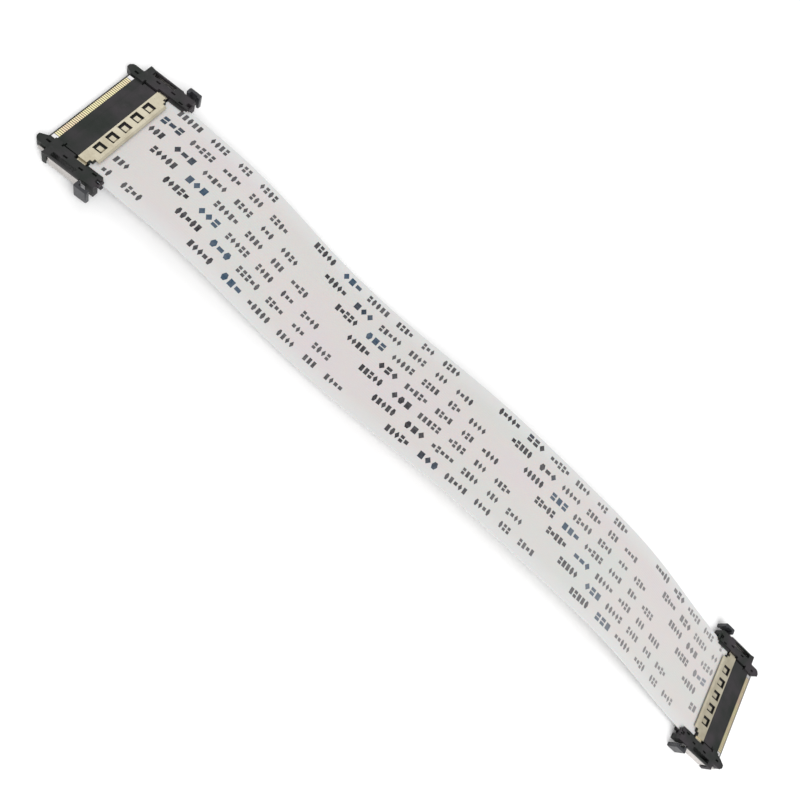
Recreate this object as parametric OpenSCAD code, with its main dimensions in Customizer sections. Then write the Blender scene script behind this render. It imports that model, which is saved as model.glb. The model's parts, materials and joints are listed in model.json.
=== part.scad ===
// Flat flex cable with a squeeze-latch plug on each end.
// It lies as it comes to rest: the far plug is flat, the near plug stands on its noses.
// Each plug is drawn in its own frame: U runs towards the noses, V across the
// cable, W up from the middle of the cable's thickness, U = 0 at the shell's front edge.

/* [Cable] */
// Width of the flat cable
cable_w = 26; // [25:0.5:30]
// Thickness of the laminated cable
cable_t = 0.3; // [0.2:0.02:0.34]
// Width of one flat conductor
conductor_w = 0.3; // [0.2:0.02:0.34]
// Thickness of one flat conductor
conductor_t = 0.05; // [0.03:0.01:0.08]
// Thickness of the stiffening film under the cable's ends
stiffener_t = 0.2; // [0.1:0.02:0.24]

/* [Contacts] */
// Number of contacts in each plug
contact_count = 41; // [31:2:41]
// Distance from one contact to the next
contact_pitch = 0.5; // [0.45:0.01:0.5]
// Width of one contact
contact_w = 0.35; // [0.2:0.01:0.37]
// Thickness of one contact
contact_t = 0.12; // [0.08:0.01:0.16]
// Length of the open contact strip
strip_len = 1.35; // [1:0.05:2]

/* [Housing] */
// Height of the plug over all
plug_h = 2.85; // [2.75:0.05:3.1]
// Length of the insulator behind the contact strip
body_len = 8.2; // [8:0.1:9]
// Length of the low step behind the contact strip
step_len = 1.85; // [1.2:0.05:2.2]
// Width of the wall at each end of the contact row
end_wall = 1.05; // [0.9:0.05:1.4]
// Width of the slit between the body and a side arm
slit_w = 0.4; // [0.3:0.05:0.5]
// Length of a side arm behind the shell's front edge
arm_rear = 6.7; // [6.4:0.1:7]
// Length of the low ledge over the cable's edge
ledge_len = 3.7; // [2.8:0.1:3.8]
// Length of a nose ahead of the arm's shoulder
nose_len = 3.4; // [2.8:0.1:4]
// Thickness of the arm's top plate
arm_top_t = 0.5; // [0.4:0.05:0.55]

/* [Shell] */
// Thickness of the sheet metal shell
shell_t = 0.2; // [0.14:0.02:0.24]
// Length of the shell with its rear lip
shell_len = 3.6; // [3.5:0.1:4]
// Number of windows in the shell
window_count = 5; // [3:1:5]
// Distance from one window to the next
window_pitch = 3.55; // [3:0.05:3.8]
// Length and width of one window
window_size = 2.1; // [1.5:0.05:2.2]

/* [Latches] */
// Thickness of the latch spring's sheet
latch_t = 0.2; // [0.14:0.02:0.24]
// Height of the latch spring
latch_h = 2.1; // [1.7:0.05:2.2]
// Radius of the latch spring's rolled pivot
pivot_r = 0.45; // [0.35:0.01:0.5]
// Length of a thumb button
button_len = 3; // [2.25:0.05:3.25]
// Reach of a thumb button out of the plug's side
button_reach = 1.8; // [1.5:0.05:2.5]
// Thickness of a thumb button's wall
button_wall = 0.7; // [0.6:0.05:0.8]

/* [Resting pose] */
// Slope of the near plug, noses down
near_slope = 12.5; // [8:0.5:16]
// Distance from plug to plug
run = 187.5; // [187:0.25:188]

/* [Hidden] */
$fn = 32;

// Heights of the cable's centreline, evenly spaced between its straight stretches.
rise = [
    5.66, 6.35, 6.29, 5.58, 4.66, 4.22, 4.38, 5.06, 6.17, 7.38, 8.44,
    9.16, 9.46, 9.58, 9.61, 9.57, 9.24, 8.38, 6.9, 5.06, 3.28
];
// Pieces of curve drawn between two route points.
route_steps = 2;
// Straight stretch of cable behind each shell's front edge.
stub = 6.9;
// Spacing of the two points that set a straight stretch's direction.
lead = 6;

// Heights in the plug's frame.
plug_bottom = -1.85;
plug_top = plug_bottom + plug_h;
cable_top = cable_t / 2;
conductor_top = cable_top + conductor_t;
shell_top = plug_top - 0.1;
shell_under = shell_top - shell_t;
step_top = shell_under - 0.2;
wing_bottom = shell_under - 0.5;
pad_top = 0.15;
tongue_bottom = -1.2;
front_lip_top = pad_top - 0.15;
nose_top = plug_top - 0.5;
ledge_top = 0.5;
hook_bottom = 0.35;
hook_top = 0.9;
nose_bottom = -1.35;
latch_gap = 0.1;
latch_top = plug_top - arm_top_t - latch_gap;
latch_bottom = latch_top - latch_h;
button_bottom = plug_bottom + 0.05;
button_top = plug_top + 0.15;
claw_bottom = -1.2;
claw_top = -0.3;

// Places along U.
body_rear = -2.8;
body_front = body_rear + body_len;
step_rear = body_front - step_len;
strip_front = body_front + strip_len;
tongue_front = strip_front + 0.35;
contact_rear = 1;
tail_front = 1.7;
cable_step = -2.75;
bare_len = 3.4;
stiffener_rear = -6.2;
shoulder_u = 5;
nose_tip = shoulder_u + nose_len;
pivot_u = 4.4;
post_rear = 3.5;
slit_front = 3.55;
slit_rear = 0.3;
root_len = 2.2;
void_len = 5.5;
slot_len = 1;
slot_rears = [0.85, -2.85, -5.4];
bulge_front = -2.5;
button_front = -3.8;
hook_len = 0.45;
hook_t = 0.3;
lip_start = 2.9;
wide_len = 2.05;
shoulder_len = 2.6;
edge_cut = 0.3;
window_rear = -0.4 - window_size;
pocket_depth = 0.4;

// Half widths along V.
row_half = contact_count * contact_pitch / 2;
body_half = row_half + end_wall;
ground_in = row_half + 0.05;
ground_out = body_half - 0.15;
tongue_half = body_half + 0.15;
tail_half = body_half - 0.4;
arm_in = body_half + slit_w;
shell_half = body_half + 0.2;
lip_half = shell_half - 1.6;
// the arms stand outside the cable, and outside the shell's ends
rail_gap = 0.2;
rail_in = max(cable_w / 2, shell_half + 1.5) + rail_gap;
plate_in = rail_in - 0.9;
wing_out = plate_in - 0.15;
core_out = rail_in + 0.7;
channel_w = 1.2;
rim_w = 0.4;
rim_out = core_out + channel_w + rim_w;
shoulder_out = rim_out + 0.15;
pivot_v = rim_out - 0.9;
claw_v = core_out + 0.2;
latch_v = rim_out - latch_t / 2 - 0.02;
button_in = rim_out + 0.3;
button_out = rim_out + button_reach;
nose_out = core_out - 0.05;
nose_in = body_half + 0.2;
slot_sides = [rail_in, rail_in + 0.1, plate_in + 0.15];
hook_in = plate_in + 0.3;
hook_out = rail_in + 1;

// Play between pieces.
pivot_play = 0.06;
slot_play = 0.4;
seat_play = 0.05;
film_play = 0.3;

// Where each plug stands in the world frame.
near_height = max(nose_tip * sin(near_slope) - nose_bottom * cos(near_slope),
    (body_front - edge_cut) * sin(near_slope) - plug_bottom * cos(near_slope));
far_height = -plug_bottom;
near_reach = nose_tip * cos(near_slope) + nose_top * sin(near_slope);
centre_x = (run + nose_tip - near_reach) / 2;

// A point on the cable's straight stretch behind the near shell, and behind the far one.
function near_point(d) = [d * cos(near_slope), near_height + d * sin(near_slope)];
function far_point(d) = [run - d, far_height];

// Catmull-Rom curve through four points, and the whole smoothed centreline.
function curve_point(a, b, c, d, t) =
    0.5 * (2 * b + (c - a) * t + (2 * a - 5 * b + 4 * c - d) * t * t + (3 * b - a - 3 * c + d) * t * t * t);
function smooth(p) = [
    for (i = [1 : len(p) - 3], k = [0 : route_steps - 1])
        curve_point(p[i - 1], p[i], p[i + 1], p[i + 2], k / route_steps)
];
rise_gap = (far_point(stub)[0] - near_point(stub)[0]) / (len(rise) + 1);
route = [for (i = [0 : len(rise) - 1]) [near_point(stub)[0] + (i + 1) * rise_gap, rise[i]]];
knots = concat([near_point(stub - lead), near_point(stub)], route, [far_point(stub), far_point(stub - lead)]);
bent = smooth(knots);
centreline = concat([near_point(-tail_front)], bent, [knots[len(knots) - 2], far_point(-tail_front)]);

// Unit normal at a point of the centreline, and the line shifted along it.
function along(p, i) = p[min(i + 1, len(p) - 1)] - p[max(i - 1, 0)];
function normal(p, i) = [-along(p, i)[1], along(p, i)[0]] / norm(along(p, i));
function shifted(p, d) = [for (i = [0 : len(p) - 1]) p[i] + d * normal(p, i)];
function reversed(p) = [for (i = [len(p) - 1 : -1 : 0]) p[i]];

// Place of one contact across the plug.
function contact_v(i) = (i - (contact_count - 1) / 2) * contact_pitch;
function window_v(i) = (i - (window_count - 1) / 2) * window_pitch;

// Stands what is drawn in the plug's frame at the near or the far end.
module at_near() {
    translate([-centre_x, 0, near_height])
        rotate([0, -near_slope, 0])
            rotate([0, 0, 180])
                children();
}

module at_far() {
    translate([run - centre_x, 0, far_height])
        children();
}

// A box from its lowest to its highest corner.
module block(low, high) {
    translate(low)
        cube(high - low);
}

// A profile in U and W, drawn across V from v0 to v1.
module across(v0, v1, outline) {
    translate([0, v1, 0])
        rotate([90, 0, 0])
            linear_extrude(height = v1 - v0)
                polygon(outline);
}

// A profile in U and V, drawn up from w0 to w1.
module upright(w0, w1, outline) {
    translate([0, 0, w0])
        linear_extrude(height = w1 - w0)
            polygon(outline);
}

// Both sides of the plug from one side.
module both_sides() {
    children();
    mirror([0, 1, 0])
        children();
}

// A bent strip of sheet that stands upright along a path in U and V.
module standing_strip(path, thickness, w0, w1) {
    for (i = [0 : len(path) - 2]) {
        step = path[i + 1] - path[i];
        translate([path[i][0], path[i][1], w0])
            rotate([0, 0, atan2(step[1], step[0])])
                translate([0, -thickness / 2, 0])
                    cube([norm(step), thickness, w1 - w0]);
    }
    for (i = [1 : len(path) - 2])
        translate([path[i][0], path[i][1], w0])
            cylinder(d = thickness, h = w1 - w0);
}

// An upright block with one radius on its four corners.
module rounded_block(low, high, r) {
    block([low[0] + r, low[1], low[2]], [high[0] - r, high[1], high[2]]);
    block([low[0], low[1] + r, low[2]], [high[0], high[1] - r, high[2]]);
    for (u = [low[0] + r, high[0] - r], v = [low[1] + r, high[1] - r])
        translate([u, v, low[2]])
            cylinder(r = r, h = high[2] - low[2]);
}

// Side outline of one contact: open pad, slope and tail on the conductor.
function contact_outline(grow) = [
    [strip_front, pad_top - contact_t],
    [strip_front, pad_top + grow],
    [step_rear + 0.9, pad_top + grow],
    [step_rear + 0.2, conductor_top + contact_t],
    [contact_rear, conductor_top + contact_t],
    [contact_rear, conductor_top],
    [step_rear + 0.2, conductor_top],
    [step_rear + 0.9, pad_top - contact_t]
];

module contact_row() {
    for (i = [0 : contact_count - 1])
        across(contact_v(i) - contact_w / 2, contact_v(i) + contact_w / 2, contact_outline(0));
}

module ground_pad_pair() {
    both_sides()
        block([body_front - 0.4, ground_in, pad_top - contact_t], [strip_front, ground_out, pad_top]);
}

// The insulator's middle: tongue, two steps, window pockets and the cable's slot.
module insulator_middle() {
    difference() {
        union() {
            across(-body_half, body_half, [
                [body_rear, plug_bottom], [body_front - edge_cut, plug_bottom],
                [body_front, plug_bottom + edge_cut], [body_front, step_top],
                [step_rear, step_top], [step_rear, shell_under], [body_rear, shell_under]
            ]);
            across(-tongue_half, tongue_half, [
                [body_front - 0.4, tongue_bottom], [tongue_front - 0.2, tongue_bottom],
                [tongue_front, tongue_bottom + 0.2], [tongue_front, front_lip_top],
                [strip_front, front_lip_top], [strip_front, pad_top - 0.05],
                [body_front - 0.4, pad_top - 0.05]
            ]);
        }
        contact_row();
        ground_pad_pair();
        for (i = [0 : window_count - 1])
            block([window_rear - 0.1, window_v(i) - window_size / 2, shell_under - pocket_depth],
                [window_rear + window_size + 0.1, window_v(i) + window_size / 2, plug_top]);
        // the corners behind the shell's hooks are cut back
        both_sides()
            block([body_rear - 1, lip_half + 0.8, -0.5], [body_rear + 0.5, body_half + 1, plug_top]);
        // the slot takes the cable's tail, its bare conductors and the stiffener
        block([body_rear - 1, -tail_half - seat_play, -cable_top - stiffener_t],
            [tail_front, tail_half + seat_play, conductor_top]);
    }
}

// Outline of an arm's top plate.
arm_plate = [
    [body_front, body_half - 0.1], [body_front, arm_in + 0.4], [shoulder_u, nose_out],
    [shoulder_u, shoulder_out], [shoulder_u - 0.5, shoulder_out], [shoulder_u - 1.1, rim_out],
    [button_front + 0.3, rim_out], [button_front + 0.1, rim_out - 0.25], [-arm_rear, rim_out - 0.3],
    [-arm_rear, plate_in], [slit_rear, plate_in], [slit_rear, arm_in],
    [slit_front - slit_w, arm_in], [slit_front, body_half - 0.1]
];

// Outline of an arm's full-height core.
arm_core = [
    [body_front - 0.3, body_half - 0.1], [body_front - 0.3, arm_in + 0.2], [shoulder_u, nose_out],
    [shoulder_u, core_out], [bulge_front, core_out], [bulge_front - 0.8, core_out + 0.5],
    [button_front - 0.6, core_out + 0.5], [button_front - 1, rim_out - 0.3], [-arm_rear, rim_out - 0.3],
    [-arm_rear, plate_in], [slit_rear, plate_in], [slit_rear, arm_in],
    [slit_front - slit_w, arm_in], [slit_front, body_half - 0.1]
];

// A guide nose with its tapered tip.
nose_outline = [
    [shoulder_u - 1, nose_in], [nose_tip - 1.6, nose_in], [nose_tip, nose_in + 0.85],
    [nose_tip, nose_out - 0.75], [nose_tip - 0.5, nose_out - 0.15], [nose_tip - 1, nose_out],
    [shoulder_u - 1, nose_out]
];

// One side arm without its latch.
module side_arm() {
    difference() {
        union() {
            upright(plug_top - arm_top_t, plug_top, arm_plate);
            upright(plug_bottom, plug_top - arm_top_t, arm_core);
            // low ledge over the cable's edge
            block([bulge_front - ledge_len, arm_in, cable_top + seat_play],
                [bulge_front, plate_in + 0.1, ledge_top]);
            upright(nose_bottom, nose_top, nose_outline);
            // front post round the latch's pivot
            upright(plug_bottom, plug_top - arm_top_t, [
                [post_rear, core_out - 0.1], [shoulder_u, core_out - 0.1], [shoulder_u, shoulder_out],
                [shoulder_u - 0.5, shoulder_out], [shoulder_u - 1.1, rim_out], [post_rear, rim_out]
            ]);
        }
        arm_cuts();
    }
    // hook behind the arm's rear notch
    block([-arm_rear - hook_len, hook_in, hook_bottom], [-arm_rear - hook_len + hook_t, hook_out, hook_top]);
    block([-arm_rear - hook_len, hook_out - hook_t, hook_bottom], [-arm_rear + 0.1, hook_out, hook_top]);
}

// Cuts in an arm: the long void, three small slots, the nose's hole, the rear notch,
// the channel for the cable's edge and the pivot's seat.
module arm_cuts() {
    block([post_rear - void_len, core_out + 0.2, plug_top - 1], [post_rear, rim_out - rim_w, plug_top + 1]);
    for (i = [0 : 2])
        block([slot_rears[i], slot_sides[i], plug_top - 0.6],
            [slot_rears[i] + slot_len, slot_sides[i] + 0.4, plug_top + 1]);
    block([shoulder_u + 0.6, nose_in + 0.8, nose_bottom - 1],
        [shoulder_u + 1.6, nose_in + 1.25, nose_top + 1]);
    block([-arm_rear - 1, hook_in + 0.4, plug_bottom - 1],
        [-arm_rear + 0.8, hook_out - hook_t, plug_top + 1]);
    block([-arm_rear - 1, body_half, -cable_top - film_play], [bulge_front, rail_in, cable_top + seat_play]);
    translate([pivot_u, pivot_v, plug_bottom - 1])
        cylinder(r = pivot_r + pivot_play, h = latch_top + latch_gap - plug_bottom + 1);
    // ways out for the claw and for the spring
    block([pivot_u, claw_v - latch_t / 2 - seat_play, plug_bottom - 1],
        [shoulder_u + 1, claw_v + latch_t / 2 + slot_play, latch_top + latch_gap]);
    block([post_rear - 1, latch_v - latch_t - slot_play, plug_bottom - 1],
        [pivot_u, latch_v + latch_t / 2 + seat_play, latch_top + latch_gap]);
}

module housing() {
    color("#2b2b2d") {
        difference() {
            union() {
                insulator_middle();
                both_sides()
                    side_arm();
                // floor that joins the arms to the middle
                both_sides()
                    block([slit_rear - root_len, body_half - 0.2, plug_bottom],
                        [body_front - 0.3, arm_in + 0.2, -0.5]);
            }
            // the slit's short leg across each arm's root
            both_sides()
                block([slit_front - slit_w, body_half - 0.6, -0.4], [slit_front, arm_in + 0.3, plug_top + 1]);
        }
    }
}

module contacts() {
    color("#d9cf9c")
        contact_row();
}

module ground_pads() {
    color("#e6e4dc")
        ground_pad_pair();
}

// Side outline of the shell's plate with its rolled rear lip.
lip_drop = 0.25;
tab_drop = 0.34;
tab_bend = 0.45;
tab_root = 0.1;
shell_outline = [
    [0, shell_under], [0, shell_top], [-lip_start, shell_top], [-lip_start - 0.3, shell_top - 0.06],
    [-shell_len, shell_top - lip_drop], [-shell_len, shell_under - lip_drop],
    [-lip_start - 0.3, shell_under - 0.06], [-lip_start, shell_under]
];

module shell() {
    color("#cfc8ad") {
        difference() {
            union() {
                across(-lip_half, lip_half, shell_outline);
                block([-wide_len, -shell_half, shell_under], [0, shell_half, shell_top]);
                block([-shoulder_len, -lip_half - 0.7, shell_under], [-wide_len, lip_half + 0.7, shell_top]);
                both_sides()
                    shell_wing();
            }
            for (i = [0 : window_count - 1])
                block([window_rear, window_v(i) - window_size / 2, shell_under - 1],
                    [window_rear + window_size, window_v(i) + window_size / 2, shell_top + 1]);
        }
        for (i = [0 : window_count - 1])
            shell_tab(window_v(i));
    }
}

// The tab bent down inside a window and level in front of the bend, held at the window's rear edge.
module shell_tab(v) {
    slot = window_size * 0.25;
    bend = window_rear + tab_bend;
    tip = window_rear + window_size - slot;
    across(v - window_size / 2 + slot, v + window_size / 2 - slot, [
        [window_rear - tab_root, shell_top], [window_rear, shell_top], [bend, shell_top - tab_drop],
        [tip, shell_top - tab_drop], [tip, shell_under - tab_drop], [bend, shell_under - tab_drop],
        [window_rear, shell_under], [window_rear - tab_root, shell_under]
    ]);
}

// The end of the shell steps down into the arm's notch.
module shell_wing() {
    block([-wide_len, shell_half - shell_t, wing_bottom], [-0.1, shell_half, shell_top]);
    block([-wide_len, shell_half - shell_t, wing_bottom], [-0.1, wing_out, wing_bottom + shell_t]);
}

module stiffener() {
    color("#4d7fb5")
        block([stiffener_rear, -tail_half, -cable_top - stiffener_t], [tail_front, tail_half, -cable_top]);
}

module conductor_ends() {
    color("#d8b48a")
        for (i = [0 : contact_count - 1])
            block([tail_front - bare_len, contact_v(i) - conductor_w / 2, cable_top],
                [tail_front, contact_v(i) + conductor_w / 2, conductor_top]);
}

// The latch spring: claw beside the nose, rolled pivot in the post, spring, and a tail in the button.
web_u = button_front - button_wall / 2;
spring_path = [
    [pivot_u, pivot_v], [post_rear + 0.1, latch_v - 0.05], [post_rear - 0.4, latch_v],
    [button_front + 0.2, latch_v], [web_u, button_in + 0.2], [web_u, button_out - button_wall / 2]
];
claw_path = [
    [nose_tip - 1.3, claw_v + 0.1], [nose_tip - 1.7, claw_v], [pivot_u + 0.2, claw_v],
    [pivot_u + 0.1, pivot_v]
];

module latch() {
    color("#c9c5c1") {
        standing_strip(spring_path, latch_t, latch_bottom, latch_top);
        standing_strip(claw_path, latch_t, claw_bottom, claw_top);
        translate([pivot_u, pivot_v, latch_bottom])
            cylinder(r = pivot_r, h = latch_h);
    }
}

// A thumb button: a web that grips the spring's tail, and a curved wall to press.
module button() {
    outer = button_out - button_wall;
    rear = button_front - button_len;
    color("#333338")
        difference() {
            union() {
                rounded_block([button_front - button_wall, button_in, button_bottom],
                    [button_front, button_out, button_top], button_wall * 0.4);
                rounded_block([rear, outer, button_bottom],
                    [button_front, button_out, button_top], button_wall * 0.4);
                rounded_block([rear, outer - 0.35, button_bottom],
                    [rear + button_wall, button_out, button_top], button_wall * 0.4);
            }
            standing_strip(spring_path, latch_t, latch_bottom, latch_top);
        }
}

// The laminated cable. Inside each plug it narrows to a tongue.
module cable() {
    color("#ddd6d5")
        difference() {
            translate([-centre_x, cable_w / 2, 0])
                rotate([90, 0, 0])
                    linear_extrude(height = cable_w)
                        polygon(concat(shifted(centreline, cable_t / 2),
                            reversed(shifted(centreline, -cable_t / 2))));
            at_near()
                cable_corners();
            at_far()
                cable_corners();
        }
}

module cable_corners() {
    both_sides()
        block([cable_step, tail_half, -1], [tail_front + 1, cable_w, 1]);
}

cable();
at_near() housing();  // near_housing
at_near() contacts();  // near_contacts
at_near() ground_pads();  // near_ground_pads
at_near() shell();  // near_shell
at_near() stiffener();  // near_stiffener
at_near() conductor_ends();  // near_conductor_ends
at_near() mirror([0, 1, 0]) latch();  // near_left_latch
at_near() latch();  // near_right_latch
at_near() mirror([0, 1, 0]) button();  // near_left_button
at_near() button();  // near_right_button
at_far() housing();  // far_housing
at_far() contacts();  // far_contacts
at_far() ground_pads();  // far_ground_pads
at_far() shell();  // far_shell
at_far() stiffener();  // far_stiffener
at_far() conductor_ends();  // far_conductor_ends
at_far() mirror([0, 1, 0]) latch();  // far_left_latch
at_far() latch();  // far_right_latch
at_far() mirror([0, 1, 0]) button();  // far_left_button
at_far() button();  // far_right_button
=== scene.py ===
import json
import math
import random

import bmesh
import bpy
import numpy as np
from mathutils import Euler, Matrix, Vector


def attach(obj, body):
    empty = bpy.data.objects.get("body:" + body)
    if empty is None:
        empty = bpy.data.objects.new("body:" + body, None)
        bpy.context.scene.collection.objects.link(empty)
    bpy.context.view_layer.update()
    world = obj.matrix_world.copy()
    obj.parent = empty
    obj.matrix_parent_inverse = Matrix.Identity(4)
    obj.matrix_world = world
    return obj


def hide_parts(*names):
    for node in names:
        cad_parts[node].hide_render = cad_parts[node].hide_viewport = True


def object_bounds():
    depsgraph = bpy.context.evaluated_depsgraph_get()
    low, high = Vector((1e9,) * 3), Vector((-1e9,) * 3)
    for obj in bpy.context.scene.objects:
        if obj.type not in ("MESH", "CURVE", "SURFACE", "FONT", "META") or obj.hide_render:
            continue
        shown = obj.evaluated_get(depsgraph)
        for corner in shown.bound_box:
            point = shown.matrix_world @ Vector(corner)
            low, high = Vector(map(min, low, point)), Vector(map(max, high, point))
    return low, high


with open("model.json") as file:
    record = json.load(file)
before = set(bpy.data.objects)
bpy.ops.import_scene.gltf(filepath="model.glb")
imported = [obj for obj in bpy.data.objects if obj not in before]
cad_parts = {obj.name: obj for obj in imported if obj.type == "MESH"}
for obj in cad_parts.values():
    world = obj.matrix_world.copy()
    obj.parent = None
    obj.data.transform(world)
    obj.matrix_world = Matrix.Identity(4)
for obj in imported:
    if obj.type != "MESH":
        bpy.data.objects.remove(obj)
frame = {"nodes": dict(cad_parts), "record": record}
nodes = frame["nodes"]
cad_low, cad_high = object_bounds()
MM = 0.001

# ---------------------------------------------------------------- camera
# Place, turn and lens that give the photograph's view of the object.
CAM_PLACE = (-0.053505, -0.093324, 0.163074)  # metres
CAM_TURN = (15.7484, -28.225, 36.3635)  # degrees about X, then Y, then Z
SENSOR, LENS = 36, 39.42  # millimetres
NEAREST, FURTHEST = 0.005, 10  # what the camera sees, in metres

cam_data = bpy.data.cameras.new("camera")
cam = bpy.data.objects.new("camera", cam_data)
bpy.context.scene.collection.objects.link(cam)
cam_turn = Euler([math.radians(angle) for angle in CAM_TURN])
cam.matrix_world = Matrix.LocRotScale(Vector(CAM_PLACE), cam_turn, None)
cam_data.sensor_width, cam_data.lens = SENSOR, LENS
cam_data.clip_start, cam_data.clip_end = NEAREST, FURTHEST
bpy.context.scene.camera = cam
bpy.context.scene.view_settings.view_transform = "Standard"

# ---------------------------------------------------------------- the ribbon's route
# The same values as in part.scad, in millimetres until a mesh is made.
SLOPE = math.radians(12.5)
RUN = 187.5
NOSE_TIP, NOSE_TOP, NOSE_BOTTOM = 8.4, 0.5, -1.35
PLUG_BOTTOM = -1.85
STUB, LEAD, TAIL = 6.9, 6.0, 1.7
CABLE_W, CABLE_T = 26.0, 0.3
TAIL_HALF, CABLE_STEP = 10.9, 2.75
RISE = [
    5.66, 6.35, 6.29, 5.58, 4.66, 4.22, 4.38, 5.06, 6.17, 7.38, 8.44,
    9.16, 9.46, 9.58, 9.61, 9.57, 9.24, 8.38, 6.9, 5.06, 3.28,
]
NEAR_Z = NOSE_TIP * math.sin(SLOPE) - NOSE_BOTTOM * math.cos(SLOPE)
FAR_Z = -PLUG_BOTTOM
REACH = NOSE_TIP * math.cos(SLOPE) + NOSE_TOP * math.sin(SLOPE)
CENTRE_X = (RUN + NOSE_TIP - REACH) / 2

KNOT_STEPS = 8  # points of the route from one knot to the next
SIGHT = 0.6  # how far to each side of a point its direction is taken


def near_point(d):
    """Length and height of the point d behind the near shell's front edge."""
    return np.array([d * math.cos(SLOPE), NEAR_Z + d * math.sin(SLOPE)])


def far_point(d):
    """Length and height of the point d behind the far shell's front edge."""
    return np.array([RUN - d, FAR_Z])


def curve_point(a, b, c, d, t):
    """The point at share t of the way from b to c, on a smooth curve through all four."""
    return 0.5 * (
        2 * b + (c - a) * t + (2 * a - 5 * b + 4 * c - d) * t * t
        + (3 * b - a - 3 * c + d) * t * t * t
    )


def route_points():
    """The ribbon's centreline, from the tail in the near plug to the tail in the far plug."""
    first, last = near_point(STUB)[0], far_point(STUB)[0]
    gap = (last - first) / (len(RISE) + 1)
    knots = [near_point(STUB - LEAD), near_point(STUB)]
    knots += [np.array([first + (i + 1) * gap, height]) for i, height in enumerate(RISE)]
    knots += [far_point(STUB), far_point(STUB - LEAD)]
    points = [near_point(-TAIL), near_point(0.0)]
    for i in range(1, len(knots) - 2):
        for k in range(KNOT_STEPS):
            points.append(curve_point(*knots[i - 1 : i + 3], k / KNOT_STEPS))
    return np.array([*points, knots[-2], far_point(0.0), far_point(-TAIL)])


line = route_points()
steps = np.linalg.norm(np.diff(line, axis=0), axis=1)
along = np.concatenate([[0], np.cumsum(steps)]) - TAIL  # 0 at the near shell's front edge
LENGTH = along[-1] - TAIL


def line_point(s):
    """Length and height of the centreline, s mm along it from the near shell's front edge."""
    return np.array([np.interp(s, along, line[:, 0]), np.interp(s, along, line[:, 1])])


def ribbon_point(s, y, lift):
    """A point on the ribbon, in metres: s along, y across, lift above the middle of its thickness."""
    x, z = line_point(s)
    ahead = line_point(s + SIGHT) - line_point(s - SIGHT)
    ahead /= np.linalg.norm(ahead)
    return Vector(((x - ahead[1] * lift - CENTRE_X) * MM, y * MM, (z + ahead[0] * lift) * MM))


def new_object(name, verts, faces, uvs=None):
    """A mesh object in the scene, with one stored (u, v) for each vertex where they are given."""
    mesh = bpy.data.meshes.new(name)
    mesh.from_pydata(verts, [], faces)
    if uvs is not None:
        layer = mesh.uv_layers.new(name="flat")
        for poly in mesh.polygons:
            for li in poly.loop_indices:
                layer.data[li].uv = uvs[mesh.loops[li].vertex_index]
    obj = bpy.data.objects.new(name, mesh)
    bpy.context.scene.collection.objects.link(obj)
    return obj


# ---------------------------------------------------------------- the ribbon
COLUMNS = 44  # faces across the ribbon's top
EDGE_FLAT = 0.05  # where the flat ends, in from the edge
EDGE_IN, EDGE_UP = 0.012, 0.55  # the edge's bends: in from it, and share of half the thickness
TAIL_STATIONS = [-TAIL, -0.8, 0.0, 1.2]  # where the rings of points lie along the tail
SHOULDER = 0.35  # length over which the narrow tail widens to the full ribbon
END_GAP = 0.4  # least room from the end of the shoulder to the route's own points
HAIR = 0.01  # a length that settles which side of the shoulder a station is on
CREASE = math.radians(50)


def ribbon_section(half):
    """Points (across, up) round the section: the top, one edge, the bottom and the other edge."""
    half_t = CABLE_T / 2
    flat = 2 * half - 2 * EDGE_FLAT
    top = [(-half + EDGE_FLAT + flat * i / COLUMNS, half_t) for i in range(COLUMNS + 1)]
    bottom = [(half - EDGE_FLAT - flat * i / COLUMNS, -half_t) for i in range(COLUMNS + 1)]
    edge = [(half - EDGE_IN, half_t * EDGE_UP), (half, 0.0), (half - EDGE_IN, -half_t * EDGE_UP)]
    return top + edge + bottom + [(-y, -lift) for y, lift in edge]


def make_ribbon():
    """The laminate as one closed strip: a ring of points at each station, and faces from ring to ring."""
    ends = [*TAIL_STATIONS, CABLE_STEP - SHOULDER, CABLE_STEP]
    middle_from = CABLE_STEP + END_GAP
    stations = ends + [s for s in along if middle_from < s < LENGTH - middle_from]
    stations += [LENGTH - s for s in reversed(ends)]
    verts, uvs, faces, rings = [], [], [], []
    for s in stations:
        in_tail = s < CABLE_STEP - HAIR or s > LENGTH - CABLE_STEP + HAIR
        section = ribbon_section(TAIL_HALF if in_tail else CABLE_W / 2)
        rings.append(range(len(verts), len(verts) + len(section)))
        verts += [ribbon_point(s, y, lift) for y, lift in section]
        uvs += [(s * MM, y * MM) for y, _ in section]
    n = len(rings[0])
    for a, b in zip(rings, rings[1:]):
        for i in range(n):
            j = (i + 1) % n
            faces.append((a[i], b[i], b[j], a[j]))
    faces.append(tuple(rings[0]))
    faces.append(tuple(reversed(rings[-1])))
    obj = new_object("ribbon", verts, faces, uvs)
    bm = bmesh.new()
    bm.from_mesh(obj.data)
    bmesh.ops.recalc_face_normals(bm, faces=bm.faces)
    bm.to_mesh(obj.data)
    bm.free()
    obj.data.polygons.foreach_set("use_smooth", [True] * len(obj.data.polygons))
    obj.data.set_sharp_from_angle(angle=CREASE)
    return obj


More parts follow.
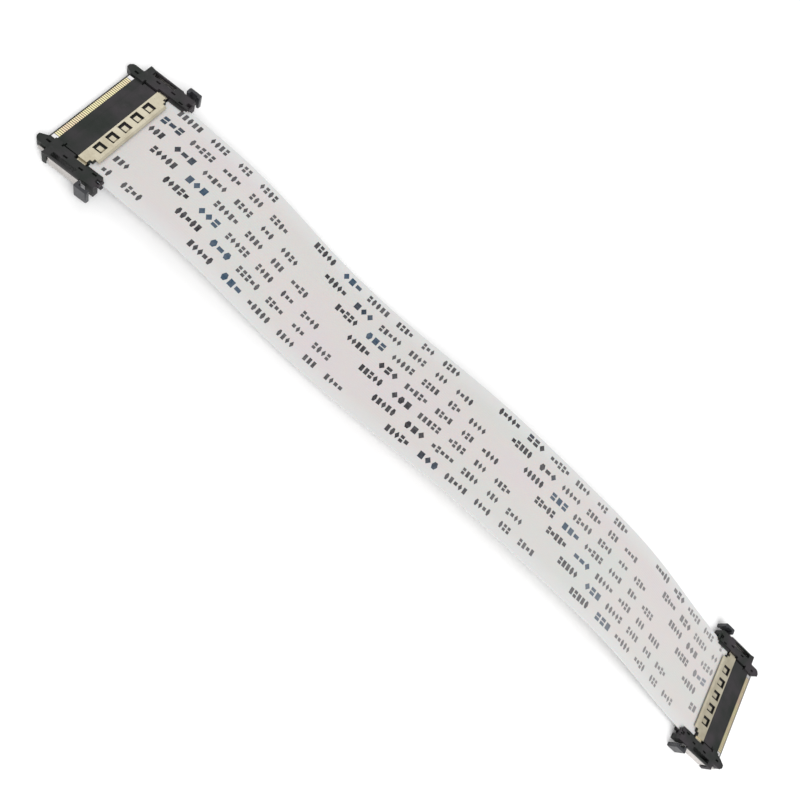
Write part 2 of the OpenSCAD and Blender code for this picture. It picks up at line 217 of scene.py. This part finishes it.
# ---------------------------------------------------------------- printed marks
# Rows of small plain shapes: bars, blocks, lozenges and hexagons. They spell nothing.
SEED = 11
BLOCKS, BLOCK_STEP, FIRST_BLOCK = 5, 54.09, -64.36
ROWS, ROW_STEP, ROW_TOP, ROW_SHIFT = 7, 3.533, 11.19, 5.98
GROUPS = [  # start in the block, cells, cell pitch, heavy
    (0.0, 5, 1.23, True), (8.8, 3, 1.8, True), (16.09, 5, 1.23, False),
    (24.52, 4, 1.15, False), (31.83, 3, 1.12, False), (37.72, 4, 1.2, False),
]
BLUE_GROUP = 1  # the group whose ink is bluish in places
MARK_H = 1.8  # height of a mark's cell, across the ribbon
HEAVY = (0.78, 0.98, 1.0)  # width to the cell pitch, height to MARK_H, and ink
LIGHT = (0.70, 0.90, 0.93)
LEAN = 0.08  # how far a mark leans over its height, as a share of its width
INK_TOP, INK_UNDER = 0.025, -0.01  # above the film, and sunk into it
PLUG_GAP = 3.9  # no mark is nearer than this to a shell's front edge
UNEVEN = 0.94  # the ink varies from mark to mark, down to this share
FADE, FADE_FROM, FADE_OVER = 0.40, 100, 90  # the ink pales towards the far plug


def glyphs():
    """Outlines of the marks in a unit cell, each a list of convex shapes: none is a letter or a digit."""
    def bar(x0, y0, x1, y1):
        return [(x0, y0), (x1, y0), (x1, y1), (x0, y1)]

    double_bar = [bar(0.04, 0.0, 0.96, 0.43), bar(0.04, 0.57, 0.96, 1.0)]
    block = [bar(0.05, 0.04, 0.95, 0.96)]
    lozenge = [[(-0.02, 0.5), (0.5, -0.02), (1.02, 0.5), (0.5, 1.02)]]
    low_bar = [bar(0.02, 0.24, 0.98, 0.76)]
    hexagon = [[(0.26, 0.0), (0.74, 0.0), (1.0, 0.5), (0.74, 1.0), (0.26, 1.0), (0.0, 0.5)]]
    return [double_bar, block, lozenge, low_bar, hexagon]


def mark_places():
    """Each mark's outlines, start along, middle across, width, height, ink and whether it may be blue."""
    rng = random.Random(SEED)
    shapes = glyphs()
    for block in range(BLOCKS):
        for row in range(ROWS):
            y_mid = ROW_TOP - row * ROW_STEP
            start = FIRST_BLOCK + block * BLOCK_STEP + row * ROW_SHIFT
            for group, (offset, cells, pitch, heavy) in enumerate(GROUPS):
                wide, high, strength = HEAVY if heavy else LIGHT
                for k in range(cells):
                    outlines = shapes[rng.randrange(len(shapes))]
                    s0, width = start + offset + k * pitch, pitch * wide
                    if s0 < PLUG_GAP or s0 + width > LENGTH - PLUG_GAP:
                        continue
                    ink = strength * rng.uniform(UNEVEN, 1.0)
                    ink *= 1.0 - FADE * max(0.0, (s0 - FADE_FROM) / FADE_OVER)
                    yield outlines, s0, y_mid, width, MARK_H * high, ink, group == BLUE_GROUP


def make_marks():
    """Thin closed prisms that follow the ribbon, with (ink, blue or not) stored at their vertices."""
    verts, faces, uvs = [], [], []
    for outlines, s0, y_mid, width, tall, ink, blue in mark_places():
        for outline in outlines:
            base, n = len(verts), len(outline)
            for lift in (INK_TOP, INK_UNDER):
                for u, v in outline:
                    s, y = s0 + (u + LEAN * (v - 0.5)) * width, y_mid + (v - 0.5) * tall
                    verts.append(ribbon_point(s, y, CABLE_T / 2 + lift))
                    uvs.append((ink, float(blue)))
            faces.append(tuple(range(base, base + n)))
            faces.append(tuple(range(base + 2 * n - 1, base + n - 1, -1)))
            for i in range(n):
                j = (i + 1) % n
                faces.append((base + j, base + i, base + n + i, base + n + j))
    return new_object("ribbon_marks", verts, faces, uvs)


# ---------------------------------------------------------------- the cord
PATH_POINTS = 120

ribbon = make_ribbon()
marks = make_marks()
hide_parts("cable")
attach(ribbon, "cable")
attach(marks, "cable")
path = [ribbon_point(s, 0, 0) for s in np.linspace(0, LENGTH, PATH_POINTS)]


# ---------------------------------------------------------------- materials
class Shade:
    """One node material, and the few steps that its looks are made of."""

    def __init__(self, name):
        self.mat = bpy.data.materials.new(name)
        self.mat.use_nodes = True
        self.tree = self.mat.node_tree
        self.bsdf = self.tree.nodes["Principled BSDF"]

    def node(self, kind, **settings):
        n = self.tree.nodes.new(kind)
        for key, value in settings.items():
            setattr(n, key, value)
        return n

    def feed(self, socket, value):
        """Link another node's output to the socket, or set it to a number or a colour."""
        if isinstance(value, bpy.types.NodeSocket):
            self.tree.links.new(value, socket)
        elif isinstance(value, tuple):
            socket.default_value = (*value, 1)
        else:
            socket.default_value = value

    def stored(self):
        """The two numbers stored at the ribbon's and the marks' vertices."""
        uv = self.node("ShaderNodeUVMap", uv_map="flat")
        split = self.node("ShaderNodeSeparateXYZ")
        self.feed(split.inputs["Vector"], uv.outputs["UV"])
        return split.outputs["X"], split.outputs["Y"]

    def noise(self, scale, detail, rough=0.55, stretch=(1, 1, 1)):
        """Noise in the object's own space: scale is in cells to the metre, times stretch on each axis."""
        place = self.node("ShaderNodeTexCoord")
        mapping = self.node("ShaderNodeMapping")
        mapping.inputs["Scale"].default_value = stretch
        self.feed(mapping.inputs["Vector"], place.outputs["Object"])
        n = self.node("ShaderNodeTexNoise")
        self.feed(n.inputs["Vector"], mapping.outputs["Vector"])
        for key, value in (("Scale", scale), ("Detail", detail), ("Roughness", rough)):
            n.inputs[key].default_value = value
        return n.outputs["Fac"]

    def ramp(self, source, stops):
        r = self.node("ShaderNodeValToRGB")
        while len(r.color_ramp.elements) < len(stops):
            r.color_ramp.elements.new(0.5)
        for element, (place, colour) in zip(r.color_ramp.elements, stops):
            element.position = place
            element.color = (*colour, 1)
        self.feed(r.inputs["Fac"], source)
        return r.outputs["Color"]

    def mix(self, a, b, share):
        m = self.node("ShaderNodeMix", data_type="RGBA")
        for index, value in ((6, a), (7, b), (0, share)):  # the node's colour sockets, and its factor
            self.feed(m.inputs[index], value)
        return m.outputs[2]

    def math(self, kind, a, b=0.0):
        m = self.node("ShaderNodeMath", operation=kind)
        self.feed(m.inputs[0], a)
        self.feed(m.inputs[1], b)
        return m.outputs[0]

    def map_range(self, source, low, high, to_low, to_high):
        """The source with its low and high moved to the new ones, and held there beyond them."""
        m = self.node("ShaderNodeMapRange")
        for key, value in (
            ("Value", source), ("From Min", low), ("From Max", high),
            ("To Min", to_low), ("To Max", to_high),
        ):
            self.feed(m.inputs[key], value)
        return m.outputs["Result"]

    def bump(self, height, depth, strength):
        b = self.node("ShaderNodeBump")
        for key, value in (("Height", height), ("Distance", depth), ("Strength", strength)):
            self.feed(b.inputs[key], value)
        self.feed(self.bsdf.inputs["Normal"], b.outputs["Normal"])

    def set(self, **values):
        for key, value in values.items():
            self.feed(self.bsdf.inputs[key.replace("_", " ")], value)


CONDUCTOR_PITCH = 0.5
ROW_HALF, ROW_END = 10.25, 10.6  # half the row's width, and where its last stripe has faded
MARGIN_FROM, MARGIN_TO = 9.0, 12.8  # where the tint changes towards the cable's edges


def film_material():
    """Pale satin laminate with soft stripes over the conductors, clear margins and a little dust."""
    m = Shade("film")
    _, y = m.stored()
    across = m.math("ABSOLUTE", y)
    wave = m.math("SINE", m.math("MULTIPLY", y, 2 * math.pi / (CONDUCTOR_PITCH * MM)))
    stripes = m.math("MULTIPLY", wave, m.map_range(across, ROW_HALF * MM, ROW_END * MM, 1.0, 0.0))
    rose, cream, green = (0.560, 0.515, 0.525), (0.560, 0.530, 0.515), (0.530, 0.540, 0.520)
    cloud = m.noise(38, 2.0, 0.5, (1.0, 2.2, 1.0))
    tint = m.ramp(cloud, [(0.30, rose), (0.50, cream), (0.72, green)])
    edge = m.map_range(across, MARGIN_FROM * MM, MARGIN_TO * MM, 0.0, 1.0)
    margin = m.mix(tint, (0.575, 0.58, 0.575), edge)
    shade = m.mix(margin, (0.46, 0.44, 0.43), m.map_range(stripes, 0.2, 1.0, 0.0, 0.10))
    dust = m.map_range(m.noise(900, 2.0), 0.66, 0.72, 0.0, 0.18)
    m.set(
        Base_Color=m.mix(shade, (0.52, 0.50, 0.48), dust),
        Roughness=m.map_range(m.noise(140, 3.0), 0.3, 0.7, 0.30, 0.44),
        Specular_IOR_Level=0.45, Coat_Weight=0.25, Coat_Roughness=0.22,
        Subsurface_Weight=0.08, Subsurface_Scale=0.0006,
    )
    waves = m.math("MULTIPLY", m.noise(60, 2.0), 1.6)
    m.bump(m.math("ADD", m.math("MULTIPLY", stripes, 0.5), waves), depth=10e-6, strength=0.6)
    return m.mat


def ink_material():
    """Near black where the stored ink is 1, paler below, and bluish in places where that is stored."""
    m = Shade("ink")
    ink, may_be_blue = m.stored()
    strength = m.math("MULTIPLY", ink, m.map_range(m.noise(1400, 2.0), 0.35, 0.65, 0.92, 1.0))
    blue = m.math("MULTIPLY", may_be_blue, m.map_range(m.noise(40, 1.0), 0.46, 0.56, 0.0, 1.0))
    hue = m.mix((0.012, 0.012, 0.016), (0.012, 0.045, 0.085), blue)
    m.set(Base_Color=m.mix((0.54, 0.52, 0.52), hue, strength), Roughness=0.55, Specular_IOR_Level=0.25)
    return m.mat


def plastic_material(name, dark, light, rough, grain, gloss=0.0):
    """Moulded plastic: clouds between two tones, pale scuffs, and a fine grain of that depth in metres."""
    m = Shade(name)
    fine = m.noise(2600, 4.0, 0.6)
    cloud = m.noise(160, 2.0)
    base = m.mix(dark, light, m.map_range(cloud, 0.35, 0.65, 0.0, 1.0))
    scuff = m.map_range(m.noise(420, 5.0, 0.7, (1.0, 3.0, 1.0)), 0.60, 0.74, 0.0, 0.35)
    m.set(
        Base_Color=m.mix(base, tuple(2.0 * c for c in light), scuff),
        Roughness=m.map_range(fine, 0.3, 0.7, rough - 0.07, rough + 0.07),
        Specular_IOR_Level=0.3, Coat_Weight=gloss, Coat_Roughness=0.2,
    )
    m.bump(m.math("ADD", fine, m.math("MULTIPLY", cloud, 0.7)), depth=grain, strength=0.7)
    return m.mat


def metal_material(name, bright, worn, rough, brush):
    """Plated or rolled sheet: streaks packed by brush on each axis, worn clouds and dull specks."""
    m = Shade(name)
    streak = m.noise(900, 4.0, 0.6, brush)
    cloud = m.noise(210, 3.0, 0.6)
    base = m.mix(bright, worn, m.map_range(cloud, 0.40, 0.68, 0.0, 1.0))
    speck = m.map_range(m.noise(1700, 2.0), 0.68, 0.74, 0.0, 0.5)
    m.set(
        Base_Color=m.mix(base, tuple(0.5 * c for c in worn), speck),
        Metallic=1.0,
        Roughness=m.map_range(streak, 0.3, 0.7, rough - 0.08, rough + 0.10),
    )
    m.bump(streak, depth=6e-6, strength=0.6)
    return m.mat


MATERIALS = {
    "film": film_material(),
    "insulator": plastic_material(
        "insulator", dark=(0.010, 0.014, 0.011), light=(0.034, 0.028, 0.033),
        rough=0.50, grain=8e-6,
    ),
    "contact_metal": metal_material(
        "contact_metal", bright=(0.93, 0.86, 0.52), worn=(0.93, 0.72, 0.54),
        rough=0.36, brush=(1.0, 8.0, 1.0),
    ),
    "pad_metal": metal_material(
        "pad_metal", bright=(0.80, 0.79, 0.78), worn=(0.68, 0.67, 0.66),
        rough=0.30, brush=(1.0, 6.0, 1.0),
    ),
    "shell_metal": metal_material(
        "shell_metal", bright=(0.67, 0.62, 0.485), worn=(0.53, 0.475, 0.355),
        rough=0.40, brush=(1.0, 12.0, 1.0),
    ),
    "backing_film": plastic_material(
        "backing_film", dark=(0.035, 0.115, 0.30), light=(0.05, 0.14, 0.34),
        rough=0.45, grain=4e-6, gloss=0.2,
    ),
    "conductor": metal_material(
        "conductor", bright=(0.80, 0.50, 0.33), worn=(0.70, 0.42, 0.28),
        rough=0.30, brush=(10.0, 1.0, 1.0),
    ),
    "spring_metal": metal_material(
        "spring_metal", bright=(0.60, 0.57, 0.55), worn=(0.48, 0.46, 0.44),
        rough=0.33, brush=(1.0, 1.0, 9.0),
    ),
    "button_plastic": plastic_material(
        "button_plastic", dark=(0.020, 0.021, 0.025), light=(0.034, 0.035, 0.040),
        rough=0.36, grain=4e-6, gloss=0.25,
    ),
}
ribbon.data.materials.append(MATERIALS["film"])
marks.data.materials.append(ink_material())

# ---------------------------------------------------------------- the CAD nodes
WELD_GAP = 2e-6  # points closer than this are one, in metres
FLAT_ANGLE, EDGE_ANGLE = math.radians(1.0), math.radians(35)
EDGE_RADIUS = {  # by the end of the node's name: shells and latches keep the crisp edges of sheet metal
    "housing": 0.07, "button": 0.10, "contacts": 0.02,
    "ground_pads": 0.03, "stiffener": 0.03, "conductor_ends": 0.008,
}


def soften(obj, radius):
    """Join the triangles of each flat face, then round the edges between them."""
    flat = obj.modifiers.new("flat", "DECIMATE")
    flat.decimate_type = "DISSOLVE"
    flat.angle_limit = FLAT_ANGLE
    bevel = obj.modifiers.new("bevel", "BEVEL")
    bevel.width = radius
    bevel.segments = 2
    bevel.limit_method = "ANGLE"
    bevel.angle_limit = EDGE_ANGLE
    bevel.harden_normals = True
    bevel.use_clamp_overlap = True


slot_of = {s["node"]: s["material_slot"] for s in frame["record"]["subparts"]}
for name, obj in nodes.items():
    if name == "cable":
        continue
    obj.data.materials.clear()
    obj.data.materials.append(MATERIALS[slot_of[name]])
    weld = obj.modifiers.new("weld", "WELD")
    weld.merge_threshold = WELD_GAP
    for ending, radius in EDGE_RADIUS.items():
        if name.endswith(ending):
            soften(obj, radius * MM)

# ---------------------------------------------------------------- floor and light
FLOOR_CORNERS = [(-4, -4, 0), (4, -4, 0), (4, 4, 0), (-4, 4, 0)]  # metres
FLOOR_GAP = 0.00002  # keeps the floor's face clear of the plugs' own undersides
SKY_STRENGTH = 0.62

floor = new_object("floor", FLOOR_CORNERS, [(0, 1, 2, 3)])
floor.location.z = cad_low.z - FLOOR_GAP
pale = Shade("floor")
pale.set(Base_Color=(0.93, 0.93, 0.93), Roughness=0.7, Specular_IOR_Level=0.2)
floor.data.materials.append(pale.mat)

world = bpy.data.worlds.new("studio")
bpy.context.scene.world = world
world.use_nodes = True
sky = world.node_tree.nodes["Background"]
sky.inputs["Color"].default_value = (1.0, 1.0, 1.0, 1)
sky.inputs["Strength"].default_value = SKY_STRENGTH


def softbox(name, place, side, power):
    """A square light of that side in metres and that power in watts, turned to the object's middle."""
    data = bpy.data.lights.new(name, "AREA")
    data.shape, data.size, data.energy = "SQUARE", side, power
    obj = bpy.data.objects.new(name, data)
    bpy.context.scene.collection.objects.link(obj)
    obj.location = place
    obj.rotation_euler = (-Vector(place)).to_track_quat("-Z", "Y").to_euler()


softbox("key", place=(0.25, -0.46, 0.75), side=0.6, power=6.8)
softbox("fill", place=(-0.50, 0.45, 0.65), side=0.9, power=1.3)
